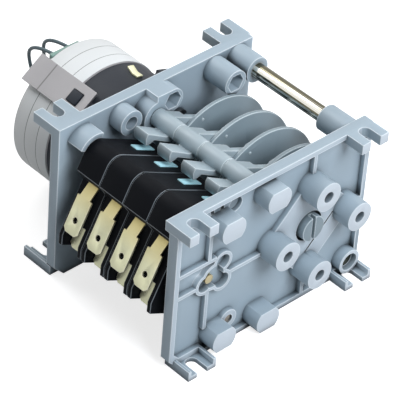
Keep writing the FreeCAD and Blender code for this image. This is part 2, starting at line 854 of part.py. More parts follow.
def common_terminal(k):
    body = new_body(f"common_terminal_{k + 1}")
    half_neck = s.neck_width / 2
    pad(body, "y", -half_neck, half_neck, neck_profile(ZERO))
    pad(body, "x", s.tab_across, s.tab_across + s.blade_thick,
        blade_outline(s.tab_top, s.tab_bottom))
    cut(body, "x", s.tab_across, s.tab_across + s.blade_thick,
        (ZERO, -s.tab_hole_down, s.tab_hole))
    place_in_switch(body, k)


def contact_terminal(k):
    body = new_body(f"contact_terminal_{k + 1}")
    pad(body, "x", s.inner_blade_across, s.inner_blade_across + s.blade_thick,
        blade_outline(s.inner_blade_top + s.blade_gap, s.inner_blade_bottom))
    place_in_switch(body, k)


def rocker_lever(k):
    body = new_body(f"rocker_lever_{k + 1}")
    slope_x = s.arm_tip_x - s.arm_root_x
    slope_z = s.arm_tip_z - s.arm_root_z
    slope = root(slope_x * slope_x + slope_z * slope_z)
    away_x = slope_x / slope
    away_z = slope_z / slope
    down_x = -away_z * s.arm_thick
    down_z = away_x * s.arm_thick
    tip_x, tip_z = from_switch(s.lip_across, -s.strip_rise - s.lip_gap - s.lip_radius)
    tip_x = tip_x - s.pivot_x
    tip_z = tip_z - s.pivot_z
    pad(body, "y", -hub_half, hub_half, (ZERO, ZERO, s.hub_radius))
    half_arm = s.arm_width / 2
    under = [(s.arm_tip_x + down_x, s.arm_tip_z + down_z),
             (s.arm_root_x + down_x - away_x * s.arm_under,
              s.arm_root_z + down_z - away_z * s.arm_under)]
    pad(body, "y", -half_arm, half_arm,
        [(s.arm_tip_x, s.arm_tip_z), *under, (ZERO, -s.hub_radius + s.shaft_gap),
         (ZERO, ZERO), (s.arm_root_x, s.arm_root_z)])
    lip_left = (tip_x - s.lip_radius, tip_z)
    lip_right = (tip_x + s.lip_radius, tip_z)
    pad(body, "y", -half_arm, half_arm,
        [under[0], (*lip_left, s.lip_radius), (tip_x, tip_z - s.lip_radius, s.lip_radius),
         lip_right, (s.arm_tip_x / 2 + s.arm_root_x / 2, s.arm_tip_z / 2 + s.arm_root_z / 2),
         (s.arm_tip_x, s.arm_tip_z)])
    nose_x, nose_z = polar(s.drum_radius + s.nose_gap + s.nose_radius, s.nose_angle)
    nose_x = nose_x - s.pivot_x
    nose_z = nose_z - s.pivot_z
    side_x = s.nose_radius * sine(s.finger_slope)
    side_z = s.nose_radius * cosine(s.finger_slope)
    pad(body, "y", s.block_gap, s.block_gap + s.block_width,
        [(ZERO, s.hub_radius - s.shaft_gap), (s.block_top_x, s.block_top_z),
         (s.block_low_x, s.block_low_z), (ZERO, -s.hub_radius + s.shaft_gap)])
    pad(body, "y", s.block_gap, s.block_gap + s.finger_width,
        [(s.block_top_x, s.block_top_z), (nose_x + side_x, nose_z + side_z),
         (nose_x - side_x, nose_z - side_z), (s.block_low_x, s.block_low_z)])
    pad(body, "y", s.block_gap, s.block_gap + s.finger_width, (nose_x, nose_z, s.nose_radius))
    cut(body, "y", -hub_half, hub_half,
        (ZERO, ZERO, s.lever_shaft_radius + s.shaft_gap))
    place(body, s.pivot_x, switch_level(k), s.pivot_z)


def cam_shaft():
    body = new_body("cam_shaft")
    drive_end = rear_web + s.coupling_start + s.coupling_length
    cams_front = s.first_centre - s.cam_wall
    pad(body, "y", s.shaft_front, drive_end, (ZERO, ZERO, s.shaft_radius))
    pad(body, "y", collar_end + s.end_play, cams_front, (ZERO, ZERO, s.shoulder_radius))
    pad(body, "y", s.shaft_front, front_web - s.shaft_head_gap, (ZERO, ZERO, s.shaft_head))
    half_slot = s.shaft_slot / 2
    cut(body, "y", s.shaft_front, s.shaft_front + s.shaft_slot_depth,
        rectangle(-half_slot, -s.shaft_head, half_slot, s.shaft_head))
    place(body)


def drum_outline(valleys):
    """A disc with flat-bottomed valleys, given as (start, span) angles in rising order."""
    floor = s.drum_radius - s.valley_depth
    corners = []
    for index, (start, span) in enumerate(valleys):
        next_start = valleys[(index + 1) % len(valleys)][0]
        if index + 1 == len(valleys):
            next_start = next_start + 360
        end = start + span
        middle = (end + next_start) / 2
        corners += [
            polar(s.drum_radius, start),
            (*polar(floor, start + s.valley_flank), floor),
            polar(floor, end - s.valley_flank),
            (*polar(s.drum_radius, end), s.drum_radius),
            (*polar(s.drum_radius, middle), s.drum_radius),
        ]
    return corners


def programme_cam(k, extra):
    body = new_body(f"cam_{k + 1}")
    low_valley = (s.valley_start, s.valley_span)
    high_valley = (s.valley_start + s.half_turn, s.valley_span)
    valleys = sorted([low_valley, high_valley, extra], key=lambda pair: pair[0].value)
    spacer_end = s.pitch - s.cam_wall
    if k == SWITCH_COUNT - 1:
        spacer_end = rear_inner - s.end_play - switch_level(k)
    pad(body, "y", -s.cam_wall, ZERO, (ZERO, ZERO, s.cam_radius))
    pad(body, "y", ZERO, s.drum_width, drum_outline(valleys))
    pad(body, "y", s.drum_width, spacer_end, (ZERO, ZERO, s.spacer_radius))
    pip = polar(s.pip_across, s.nose_angle)
    pad(body, "y", -s.cam_wall - s.pip_rise, ZERO, (*pip, s.pip_radius))
    cut(body, "y", -s.cam_wall, spacer_end, (ZERO, ZERO, s.shaft_radius + s.press_gap))
    place(body, ZERO, switch_level(k), ZERO)


def drive_coupling():
    body = new_body("drive_coupling")
    start = rear_web + s.coupling_start
    end = start + s.coupling_length
    pad(body, "y", start, end, (ZERO, ZERO, s.coupling_radius))
    cut(body, "y", start, end, (ZERO, ZERO, s.shaft_radius + s.press_gap))
    place(body)


def turned_block(angle, near, far, half):
    """A rectangle that points away from the motor axis at an angle."""
    side_x = half * sine(angle)
    side_z = half * cosine(angle)
    near_x, near_z = polar(near, angle)
    far_x, far_z = polar(far, angle)
    return [(near_x + side_x, near_z - side_z), (far_x + side_x, far_z - side_z),
            (far_x - side_x, far_z + side_z), (near_x - side_x, near_z + side_z)]


clip_angles = (s.clip_angle, s.clip_angle + s.half_turn)
clip_inner = s.can_radius + s.label_gap + s.label_thick + s.clip_gap


def gearbox_housing():
    body = new_body("gearbox_housing")
    pad(body, "y", ZERO, s.gearbox_length, (ZERO, ZERO, s.gearbox_radius))
    ear_end = s.mount_ear_start + s.mount_ear_thick
    pad(body, "y", s.mount_ear_start, ear_end,
        turned_block(s.mount_ear_angle, s.gearbox_radius / 2, s.mount_ear_reach,
                     s.mount_ear_half))
    hook = s.clip_hole_length - s.clip_hook_gap * 2
    hook_start = s.clip_hole_start + s.clip_hook_gap
    hook_half = s.clip_hole_width / 2 - s.clip_hook_gap
    for angle in clip_angles:
        pad(body, "y", hook_start, hook_start + hook,
            turned_block(angle, s.gearbox_radius / 2,
                         clip_inner + s.clip_thick + s.clip_hook_rise, hook_half))
    well_depth = s.coupling_start + s.coupling_length + s.gearbox_well_gap
    cut(body, "y", ZERO, well_depth, (-s.motor_x, -s.motor_z, s.gearbox_well))
    for x, z in screw_spots():
        cut(body, "y", ZERO, s.screw_length,
            (x - s.motor_x, z - s.motor_z, s.screw_radius + s.press_gap))
    place(body, s.motor_x, rear_web, s.motor_z)


def gearbox_screw(k):
    body = new_body(f"gearbox_screw_{k + 1}")
    x, z = screw_spots()[k]
    shank_end = s.web_wall + s.screw_length - s.gearbox_well_gap
    pad(body, "y", -s.screw_head_height, ZERO, (ZERO, ZERO, s.screw_head))
    pad(body, "y", ZERO, shank_end, (ZERO, ZERO, s.screw_radius - s.press_gap))
    half_slot = s.shaft_slot / 2
    cut(body, "y", -s.screw_head_height, -s.screw_head_height / 2,
        rectangle(-s.screw_head, -half_slot, s.screw_head, half_slot))
    place(body, x, rear_inner, z)


can_front = rear_web + s.gearbox_length
can_rear = can_front + s.can_length


def motor_can():
    body = new_body("motor_can")
    pad(body, "y", ZERO, s.can_length, (ZERO, ZERO, s.can_radius))
    cut(body, "y", s.can_wall, s.can_length, (ZERO, ZERO, s.can_radius - s.can_wall))
    cut(body, "y", ZERO, s.can_wall, (ZERO, ZERO, s.can_port))
    place(body, s.motor_x, can_front, s.motor_z)


def motor_coil():
    body = new_body("motor_coil")
    end = s.can_length - s.end_plate_inset - s.end_plate_thick
    pad(body, "y", s.can_wall, end, (ZERO, ZERO, s.can_radius - s.can_wall - s.coil_gap))
    cut(body, "y", s.can_wall, end, (ZERO, ZERO, s.coil_bore))
    place(body, s.motor_x, can_front, s.motor_z)


def motor_end_plate():
    body = new_body("motor_end_plate")
    end = s.can_length - s.end_plate_inset
    pad(body, "y", end - s.end_plate_thick, end,
        (ZERO, ZERO, s.can_radius - s.can_wall - s.press_gap))
    place(body, s.motor_x, can_front, s.motor_z)


def motor_label():
    body = new_body("motor_label")
    inner = s.can_radius + s.label_gap
    end = s.label_start + s.label_width
    pad(body, "y", s.label_start, end, (ZERO, ZERO, inner + s.label_thick))
    cut(body, "y", s.label_start, end, (ZERO, ZERO, inner))
    place(body, s.motor_x, can_front, s.motor_z)


def motor_clip(k):
    """A flat spring strap along the motor, hooked on the gearbox and lifted at the rear."""
    body = new_body(f"motor_clip_{k + 1}")
    outer = clip_inner + s.clip_thick
    half = s.clip_width / 2
    profile = [(clip_inner, s.clip_start), (outer, s.clip_start), (outer, s.clip_fold),
               (outer + s.clip_rise, s.clip_end), (clip_inner + s.clip_rise, s.clip_end),
               (clip_inner, s.clip_fold)]
    pad(body, "z", -half, half, profile)
    half_hole = s.clip_hole_width / 2
    cut(body, "z", -half_hole, half_hole,
        rectangle(clip_inner, s.clip_hole_start, outer, s.clip_hole_start + s.clip_hole_length))
    place(body, s.motor_x, rear_web, s.motor_z, -clip_angles[k])


def earth_tab():
    body = new_body("gearbox_earth_tab")
    near = s.gearbox_radius
    half = s.earth_width / 2
    end = s.earth_start + s.earth_length
    middle = s.earth_start + s.earth_length / 2
    profile = [(near, s.earth_start), (near + s.earth_thick, s.earth_start),
               (near + s.earth_thick, middle), (near + s.earth_thick + s.earth_lift, end),
               (near + s.earth_lift, end), (near, middle)]
    pad(body, "z", -half, half, profile)
    place(body, s.motor_x, rear_web, s.motor_z, -s.earth_angle)


def lead_grommet():
    body = new_body("lead_grommet")
    pad(body, "y", can_rear, can_rear + s.grommet_thick,
        rectangle(s.grommet_left, s.grommet_low, s.grommet_right, s.grommet_high))
    place(body)


def cell(word):
    return getattr(sheet, word)


def bent_path(points):
    """Straight runs joined by tangent arcs, with the tightest radius."""
    edges = []
    start = points[0]
    tightest = None
    for before, corner, after in zip(points, points[1:], points[2:]):
        come = (corner - before).normalize()
        leave = (after - corner).normalize()
        half_turn = come.getAngle(leave) / 2
        shorter = min((corner - before).Length, (after - corner).Length)
        reach = BEND_SHARE * shorter
        radius = reach / math.tan(half_turn)
        tightest = radius if tightest is None else min(radius, tightest)
        arc_start = corner - come * reach
        arc_end = corner + leave * reach
        inward = (leave - come).normalize()
        depth = radius / math.cos(half_turn) - radius
        edges.append(Part.makeLine(start, arc_start))
        edges.append(Part.Arc(arc_start, corner + inward * depth, arc_end).toShape())
        start = arc_end
    edges.append(Part.makeLine(start, points[-1]))
    return Part.Wire(edges), tightest


def motor_lead(k, points):
    """A round lead along its route, with a bare tinned tip."""
    wire, tightest = bent_path(points)
    direction = (points[1] - points[0]).normalize()
    ring = Part.Wire(Part.makeCircle(cell("lead_radius"), points[0], direction))
    tube = wire.makePipeShell([ring], True, True)
    area = math.pi * cell("lead_radius") ** 2
    print(f"lead {k + 1}: length {wire.Length:.1f} mm, tightest bend {tightest:.1f} mm,",
          f"volume {tube.Volume:.2f} of {area * wire.Length:.2f}")
    lead = doc.addObject("Part::Feature", f"motor_lead_{k + 1}")
    lead.Label = f"motor_lead_{k + 1}"
    lead.Shape = tube
    parts.append(lead)
    heading = (points[-1] - points[-2]).normalize()
    tip = doc.addObject("Part::Feature", f"lead_tip_{k + 1}")
    tip.Label = f"lead_tip_{k + 1}"
    tip.Shape = Part.makeCylinder(cell("tip_radius"), cell("tip_length"), points[-1], heading)
    parts.append(tip)


BEND_SHARE = 0.45
floor = cell("plate_bottom") + cell("lead_radius")
lead_start = (can_rear + s.grommet_thick).value
LEAD_ROUTES = (
    (
        FreeCAD.Vector(cell("lead_a_x"), lead_start, cell("lead_a_z")),
        FreeCAD.Vector(-21.4, 115.0, 17.0),
        FreeCAD.Vector(-17.0, 120.6, 3.0),
        FreeCAD.Vector(-6.0, 119.0, floor),
        FreeCAD.Vector(24.0, 111.0, floor),
    ),
    (
        FreeCAD.Vector(cell("lead_b_x"), lead_start, cell("lead_b_z")),
        FreeCAD.Vector(-14.9, 115.0, 17.0),
        FreeCAD.Vector(-10.4, 121.4, 3.0),
        FreeCAD.Vector(1.0, 124.0, floor),
        FreeCAD.Vector(27.0, 119.0, floor),
    ),
)

front_plate()
rear_plate()
round_bar("spacer_rod_upper", s.rod_x, s.rod_z, s.front_rim + s.rod_bore_floor, rear_web,
          s.rod_radius)
round_bar("spacer_rod_lower", s.low_rod_x, s.low_rod_z, s.front_rim, rear_web, s.rod_radius)
round_bar("lever_shaft", s.pivot_x, s.pivot_z, s.front_rim, rear_web, s.lever_shaft_radius)
round_bar("switch_pin_upper", *upper_pin, s.pin_front, rear_web, s.pin_radius)
round_bar("switch_pin_lower", *lower_pin, s.pin_front, rear_web, s.pin_radius)
cam_shaft()
notches = (
    (s.notch_a_start, s.notch_a_span),
    (s.notch_b_start, s.notch_b_span),
    (s.notch_c_start, s.notch_c_span),
    (s.notch_d_start, s.notch_d_span),
)
for k in range(SWITCH_COUNT):
    programme_cam(k, notches[k])
    rocker_lever(k)
    switch_housing(k)
    switch_plunger(k)
    common_terminal(k)
    contact_terminal(k)
drive_coupling()
gearbox_housing()
for k in range(3):
    gearbox_screw(k)
motor_can()
motor_coil()
motor_end_plate()
motor_label()
for k in range(2):
    motor_clip(k)
earth_tab()
lead_grommet()
doc.recompute()
for k, route in enumerate(LEAD_ROUTES):
    motor_lead(k, route)
doc.recompute()

for item in doc.Objects:
    if "Invalid" in item.State or "Error" in item.State:
        raise RuntimeError(f"{item.Label} does not build: {item.State}")
os.makedirs("parts", exist_ok=True)
for item in parts:
    if item.Shape.isNull() or not item.Shape.isValid():
        raise RuntimeError(f"{item.Label} has no valid shape")
    if not re.fullmatch("[a-z0-9_]+", item.Label):
        raise RuntimeError(f"{item.Label} cannot name a file")
    item.Shape.exportStep(f"parts/{item.Label}.step")
print(f"{len(parts)} pieces written, leads start at {lead_start:.2f}, lie at {floor:.2f}")
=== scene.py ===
import json
import math

import bmesh
import bpy
from mathutils import Matrix, Vector


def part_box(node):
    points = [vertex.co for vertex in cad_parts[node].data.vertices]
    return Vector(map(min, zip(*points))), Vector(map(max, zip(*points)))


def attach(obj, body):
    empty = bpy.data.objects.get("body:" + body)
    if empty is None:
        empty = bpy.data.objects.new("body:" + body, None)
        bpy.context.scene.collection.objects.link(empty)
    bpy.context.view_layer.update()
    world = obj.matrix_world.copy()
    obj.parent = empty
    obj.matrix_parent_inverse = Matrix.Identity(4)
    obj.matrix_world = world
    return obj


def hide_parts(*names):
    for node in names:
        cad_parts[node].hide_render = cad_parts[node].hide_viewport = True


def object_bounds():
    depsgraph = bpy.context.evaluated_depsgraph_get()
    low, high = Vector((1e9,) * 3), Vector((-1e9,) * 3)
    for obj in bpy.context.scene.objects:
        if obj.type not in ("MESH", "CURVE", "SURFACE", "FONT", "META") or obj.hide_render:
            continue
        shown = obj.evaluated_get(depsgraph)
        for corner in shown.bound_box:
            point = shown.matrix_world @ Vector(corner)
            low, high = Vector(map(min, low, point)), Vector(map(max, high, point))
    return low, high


bl_info = {
    "name": "Cam timer",
    "version": (1, 0, 0),
    "blender": (4, 5, 0),
    "location": "View3D > Sidebar > Cam timer",
    "description": "Dresses the packed cam timer with its finishes, leads and studio",
    "category": "Object",
}

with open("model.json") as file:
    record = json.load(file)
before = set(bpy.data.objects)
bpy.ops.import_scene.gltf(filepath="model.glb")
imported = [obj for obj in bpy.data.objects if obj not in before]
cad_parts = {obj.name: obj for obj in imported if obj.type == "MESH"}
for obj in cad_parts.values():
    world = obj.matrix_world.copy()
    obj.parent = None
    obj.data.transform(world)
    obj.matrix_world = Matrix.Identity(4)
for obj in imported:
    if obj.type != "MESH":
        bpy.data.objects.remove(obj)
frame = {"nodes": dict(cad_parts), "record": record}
CAD_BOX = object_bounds()
MM = 0.001
COUNT = 4

# the colour sockets of a mix node: its factor, its two colours and its result
COLOUR_MIX_INPUTS = (0, 6, 7)
COLOUR_MIX_OUTPUT = 2

# where the finishes, the painted highlights and the painted shade change on a piece
FACE_HIGHLIGHT_DEPTHS = (5.5 * MM, 8.6 * MM)
FACES_FRONT = -0.95
RIM_DEPTH = 0.5 * MM
PAINTED_SHADE_REACH = 4 * MM
ROOT_SHARE = 0.45
RULE_SHARES = (0.30, 0.66)
RULE_HALF_WIDTH = 0.12 * MM

# meshes: what counts as one corner, as flat, as an edge to round and as a smooth surface
MERGE_DISTANCE = 0.002 * MM
FLAT_ANGLE = math.radians(0.6)
EDGE_ANGLE = math.radians(40)
RIM_ANGLE = math.radians(55)
SMOOTH_ANGLE = math.radians(32)
FOLD_ANGLE = math.radians(8)

# the round vent's floor: its middle, its thickness, how far its front face is turned to
# the front, its flat rim and the dish in it
VENT_PLACE = (-31.3 * MM, 10.5 * MM, 23.0 * MM)
VENT_THICK = 0.6 * MM
VENT_FRONT = -0.9
VENT_RIM = 0.7 * MM
VENT_DISH = 0.25 * MM

# the end of a lever, and the top and far side of a plunger with the way that it slides
LIP_REACH = 1.9 * MM
LIP_MERGE = 0.01 * MM
LIP_FLAT_ANGLE = math.radians(5)
STRIP_SIDE = 0.1 * MM
STRIP_TOP = 2 * MM
SLIDE_AXIS = Vector((0.454, 0, 0.891))

LAMP_SIZE = 0.8
SIDE_LAMP_SIZE = 0.6
SENSOR_WIDTH = 36
WHITE = (1, 1, 1)


def linear(code):
    """An sRGB hex colour as linear red, green and blue."""
    parts = [int(code[k:k + 2], 16) / 255 for k in (1, 3, 5)]
    return tuple(p / 12.92 if p <= 0.04045 else ((p + 0.055) / 1.055) ** 2.4 for p in parts)


def colour_property(name, description, code):
    return bpy.props.FloatVectorProperty(
        name=name, description=description, default=linear(code), size=3,
        min=0, max=1, subtype="COLOR")


def length_property(name, description, millimetres):
    return bpy.props.FloatProperty(
        name=name, description=description, default=millimetres * MM, min=0,
        precision=5, unit="LENGTH", subtype="DISTANCE")


class CamTimerFinish(bpy.types.PropertyGroup):
    """Colours and edge radii of the pieces."""

    plate_colour: colour_property("Plates", "Grey of the moulded end plates", "#A0B1BC")
    # painted shade: the vent floor is the plate's grey painted darker
    vent_shade_colour: colour_property("Vent floor", "Dark grey painted shade deep in the vent", "#7C8890")
    lever_colour: colour_property("Levers", "Grey of the rocking levers", "#A5B4BB")
    # painted shade: the cams are the plates' blue grey painted darker, for the shade between
    # the plates
    cam_shade_colour: colour_property("Cams", "Blue grey of the programme cams, darkened as painted shade", "#84949C")
    switch_colour: colour_property("Switches", "Near black of the switch housings", "#101216")
    gearbox_colour: colour_property("Gearbox", "Dark grey of the gearbox", "#2C3037")
    # painted highlight on the foremost faces of the plates
    plate_face_highlight: colour_property("Boss faces", "Painted highlight on the ends of pegs and bosses", "#C9D3DB")
    # painted highlight on the rounded edges of the plates
    plate_rim_highlight: colour_property("Plate rims", "Painted highlight on the plate edges", "#D8E2E8")
    # painted highlight on the rounded edges of the cams and levers
    cam_rim_highlight: colour_property("Cam rims", "Painted highlight on the edges of cams and levers", "#CCD8DC")
    # painted highlight on the rounded edges of the switch housings
    switch_rim_highlight: colour_property("Switch rims", "Painted highlight on the housing edges", "#6E767C")
    # painted highlight on the rounded edges of the terminals
    brass_rim_highlight: colour_property("Terminal rims", "Painted highlight on the blade edges", "#F2EDD8")
    brass_deep: colour_property("Terminal roots", "Yellower brass at the roots", "#C6B679")
    plunger_colour: colour_property("Plungers", "Pale blue of the plunger strips", "#BCF0FC")
    brass_colour: colour_property("Terminals", "Pale brass of the blades", "#DCDCBA")
    pin_colour: colour_property("Pins", "Brass of the pins", "#EBDAAE")
    low_pin_colour: colour_property("Lower pin", "Warm steel of the lower pin", "#AFA79B")
    steel_colour: colour_property("Rods", "Bright steel of the rods", "#F1EFE6")
    # painted reflection: the dark streaks along the rods
    reflection_streak_colour: colour_property("Rod streaks", "Painted dark reflection streaks on the rods", "#6F6B58")
    screw_colour: colour_property("Screws", "Blackened steel of the gearbox screws", "#55585B")
    clip_colour: colour_property("Clips", "Plated steel of the clips and the can", "#989799")
    label_colour: colour_property("Label", "Off white of the motor wrap", "#DFE2E2")
    rule_colour: colour_property("Label rules", "Grey of the thin rules on the wrap", "#7C817F")
    lead_colour: colour_property("Leads", "Blue grey of the insulation", "#4A5F66")
    tin_colour: colour_property("Lead tips", "Tin on the bare strands", "#C8C4BC")
    copper_colour: colour_property("Winding", "Enamelled copper of the coil", "#A8683A")
    grommet_colour: colour_property("Grommet", "Green grey of the grommet", "#7FA096")
    plate_edge: length_property("Plate edges", "Rounding of the plate edges", 0.22)
    small_edge: length_property("Small edges", "Rounding of small moulded edges", 0.2)
    metal_edge: length_property("Metal edges", "Rounding of stamped edges", 0.12)
    lip_drop: length_property("Lever lip", "Depth of a lever's end face", 4.1)
    strip_trim: length_property("Strip trim", "Taken off the width of a plunger strip", 0.8)
    strip_sink: length_property("Strip sink", "How far a plunger strip sits lower", 0.5)
    vent_across: length_property("Vent floor", "Width of the floor in the vent", 5.1)
    clip_flare: length_property("Clip flare", "Length of a clip past its fold", 6.4)
    lead_thickness: length_property("Lead thickness", "Diameter of a lead", 1.2)


class CamTimerStage(bpy.types.PropertyGroup):
    """The camera, the lamps and the floor."""

    azimuth: bpy.props.FloatProperty(
        name="Azimuth", description="Turn of the camera round the object",
        default=math.radians(-46.264), subtype="ANGLE", unit="ROTATION")
    elevation: bpy.props.FloatProperty(
        name="Elevation", description="Angle of the camera above the horizon",
        default=math.radians(38.142), subtype="ANGLE", unit="ROTATION")
    roll: bpy.props.FloatProperty(
        name="Roll", description="Turn of the camera about its own axis",
        default=math.radians(5.133), subtype="ANGLE", unit="ROTATION")
    distance: length_property("Distance", "From the camera to its target", 839.4)
    lens: bpy.props.FloatProperty(
        name="Lens", description="Focal length on a 36 mm sensor", default=244.25,
        subtype="DISTANCE_CAMERA")
    target: bpy.props.FloatVectorProperty(
        name="Target", description="The point that the camera looks at",
        default=(-6.58 * MM, 35.91 * MM, 6.22 * MM), precision=5, subtype="TRANSLATION")
    shift: bpy.props.FloatVectorProperty(
        name="Shift", description="Shift of the picture, as a share of its width",
        default=(-0.0747, -0.0714), size=2)
    floor_colour: colour_property("Floor", "Pale grey of the floor card", "#CFCFCF")
    floor_size: length_property("Floor size", "Side of the square floor", 4000)
    floor_glow: bpy.props.FloatProperty(
        name="Floor glow", description="White added to the floor where the camera sees it",
        default=0.75)
    key_power: bpy.props.FloatProperty(
        name="Front lamp", description="Power of the lamp in front", default=12.6, unit="POWER")
    key_place: bpy.props.FloatVectorProperty(
        name="Front place", description="Place of the lamp in front",
        default=(0.0, -0.82, 0.84), subtype="TRANSLATION")
    key_tint: bpy.props.FloatVectorProperty(
        name="Front tint", description="Colour of the lamp in front, cool as from a window",
        default=(0.97, 1.0, 1.06), size=3, min=0.0, max=2.0, subtype="COLOR")
    side_power: bpy.props.FloatProperty(
        name="Side lamp", description="Power of the lamp on the right", default=4.0,
        unit="POWER")
    side_place: bpy.props.FloatVectorProperty(
        name="Side place", description="Place of the lamp on the right",
        default=(0.85, 0.04, 0.85), subtype="TRANSLATION")
    back_power: bpy.props.FloatProperty(
        name="Back lamp", description="Power of the lamp behind", default=5.5, unit="POWER")
    back_place: bpy.props.FloatVectorProperty(
        name="Back place", description="Place of the lamp behind",
        default=(0.0, 0.81, 0.92), subtype="TRANSLATION")
    sky_strength: bpy.props.FloatProperty(
        name="Sky", description="Strength of the even light from all round", default=0.12)
    sky_gloss: bpy.props.FloatProperty(
        name="Sky in gloss", description="What reflections see on top of it", default=0.9)


def finish_settings():
    return bpy.context.scene.cam_timer_finish


def stage_settings():
    return bpy.context.scene.cam_timer_stage


# Materials: each function makes one kind of real material, and says what it gives the eye.

def add_node(tree, kind, settings=None, links=None):
    """Adds a node: settings are its options or input values, links go from input to socket."""
    node = tree.nodes.new(kind)
    for name, value in (settings or {}).items():
        if isinstance(name, int) or name in node.inputs:
            node.inputs[name].default_value = value
        else:
            setattr(node, name, value)
    for name, socket in (links or {}).items():
        tree.links.new(socket, node.inputs[name])
    return node


def feed(tree, target, value):
    """Gives an input a socket, a colour or a number."""
    if isinstance(value, bpy.types.NodeSocket):
        tree.links.new(value, target)
    elif target.type == "RGBA":
        target.default_value = (*value, 1)
    else:
        target.default_value = value


def mixed(tree, factor, first, second, blend="MIX"):
    """A colour between two others, or their product."""
    mix = add_node(tree, "ShaderNodeMix", {"data_type": "RGBA", "blend_type": blend})
    for index, value in zip(COLOUR_MIX_INPUTS, (factor, first, second)):
        feed(tree, mix.inputs[index], value)
    return mix.outputs[COLOUR_MIX_OUTPUT]


def reckoned(tree, operation, *terms):
    """The result of a sum on numbers and sockets."""
    node = add_node(tree, "ShaderNodeMath", {"operation": operation})
    for target, term in zip(node.inputs, terms):
        feed(tree, target, term)
    return node.outputs[0]


def ramped(tree, value, start, end, low=0.0, high=1.0):
    """A value carried from one range to another and held at its ends."""
    ramp = add_node(tree, "ShaderNodeMapRange",
                    {"From Min": start, "From Max": end, "To Min": low, "To Max": high},
                    {"Value": value})
    return ramp.outputs["Result"]


def coordinate(tree, vector, axis):
    """One coordinate of a place or of a normal."""
    return add_node(tree, "ShaderNodeSeparateXYZ", {}, {"Vector": vector}).outputs[axis]


def distance_along(tree, place, level):
    """How far a place lies from a level along the shaft."""
    return reckoned(tree, "ABSOLUTE",
                    reckoned(tree, "SUBTRACT", coordinate(tree, place, "Y"), level))


def clouds(tree, place, size, detail, stretch=None):
    """Soft noise with patches of a given size, squeezed or drawn out by a stretch."""
    if stretch:
        place = add_node(tree, "ShaderNodeMapping", {"Scale": stretch},
                         {"Vector": place}).outputs["Vector"]
    return add_node(tree, "ShaderNodeTexNoise", {"Scale": 1 / size, "Detail": detail},
                    {"Vector": place}).outputs["Fac"]


def new_surface(name, settings):
    """A material with one shader, its node tree and the place on the object."""
    material = bpy.data.materials.new(name)
    material.use_nodes = True
    tree = material.node_tree
    shader = tree.nodes["Principled BSDF"]
    for key, value in settings.items():
        shader.inputs[key].default_value = value
    place = add_node(tree, "ShaderNodeTexCoord").outputs["Object"]
    return material, tree, shader, place


def surface_normal(tree):
    return add_node(tree, "ShaderNodeTexCoord").outputs["Normal"]


def drifting(tree, place, colour, size, amount):
    """A colour that drifts a little darker and lighter over the surface."""
    dark = [part * (1 - amount) for part in colour]
    light = [min(1, part * (1 + amount)) for part in colour]
    return mixed(tree, clouds(tree, place, size, 3.0), dark, light)


def set_colour(tree, shader, colour):
    feed(tree, shader.inputs["Base Color"], colour)


def vary_roughness(tree, shader, place, size, low, high):
    """Lets the gloss drift between two roughness values."""
    rough = ramped(tree, clouds(tree, place, size, 4.0), 0.0, 1.0, low, high)
    feed(tree, shader.inputs["Roughness"], rough)


def add_bump(tree, shader, height, strength, distance):
    bump = add_node(tree, "ShaderNodeBump", {"Strength": strength, "Distance": distance},
                    {"Height": height})
    tree.links.new(bump.outputs["Normal"], shader.inputs["Normal"])


def moulded_plastic(name, colour, gloss=(0.38, 0.5), sheen=0.5, painted_shade=0.0, face=None,
                    rim=None):
    """Injection-moulded thermoplastic from a spark-eroded mould: an even, slightly mottled
    satin with a fine grain that softens the highlights. Painted shade darkens bores and
    corners, and outward edges and the foremost faces get a paler painted highlight."""
    material, tree, shader, place = new_surface(
        name, {"IOR": 1.54, "Specular IOR Level": sheen})
    base = drifting(tree, place, colour, 14 * MM, 0.05)
    # painted highlight: faces that look to the front are painted paler, the foremost most of
    # all, as where the front light falls
    if face:
        front = ramped(tree, coordinate(tree, place, "Y"), *FACE_HIGHLIGHT_DEPTHS, 1.0, 0.0)
        flat = reckoned(tree, "LESS_THAN", coordinate(tree, surface_normal(tree), "Y"),
                        FACES_FRONT)
        base = mixed(tree, reckoned(tree, "MULTIPLY", front, flat), base, face)
    if rim:
        # painted highlight on outward edges: measured inwards, the occlusion falls off only
        # close to an outward edge, and there the rim colour is painted in
        within = add_node(tree, "ShaderNodeAmbientOcclusion",
                          {"inside": True, "only_local": True, "Distance": RIM_DEPTH})
        close = ramped(tree, within.outputs["AO"], 0.74, 0.92, 1.0, 0.0)
        base = mixed(tree, close, base, rim)
    # painted shade: occlusion darkens bores, recesses and corners, where shade falls
    if painted_shade:
        hollow = add_node(tree, "ShaderNodeAmbientOcclusion", {"Distance": PAINTED_SHADE_REACH})
        base = mixed(tree, painted_shade, base, hollow.outputs["Color"], "MULTIPLY")
        depth = ramped(tree, hollow.outputs["AO"], 0.25, 0.72, 0.2, 1.0)
        base = mixed(tree, 1.0, base, depth, "MULTIPLY")
    set_colour(tree, shader, base)
    vary_roughness(tree, shader, place, 6 * MM, *gloss)
    # the real grain is about 0.05 mm; it is drawn at 0.35 mm so that it shows
    add_bump(tree, shader, clouds(tree, place, 0.35 * MM, 2.0), 0.12, 0.05 * MM)
    return material


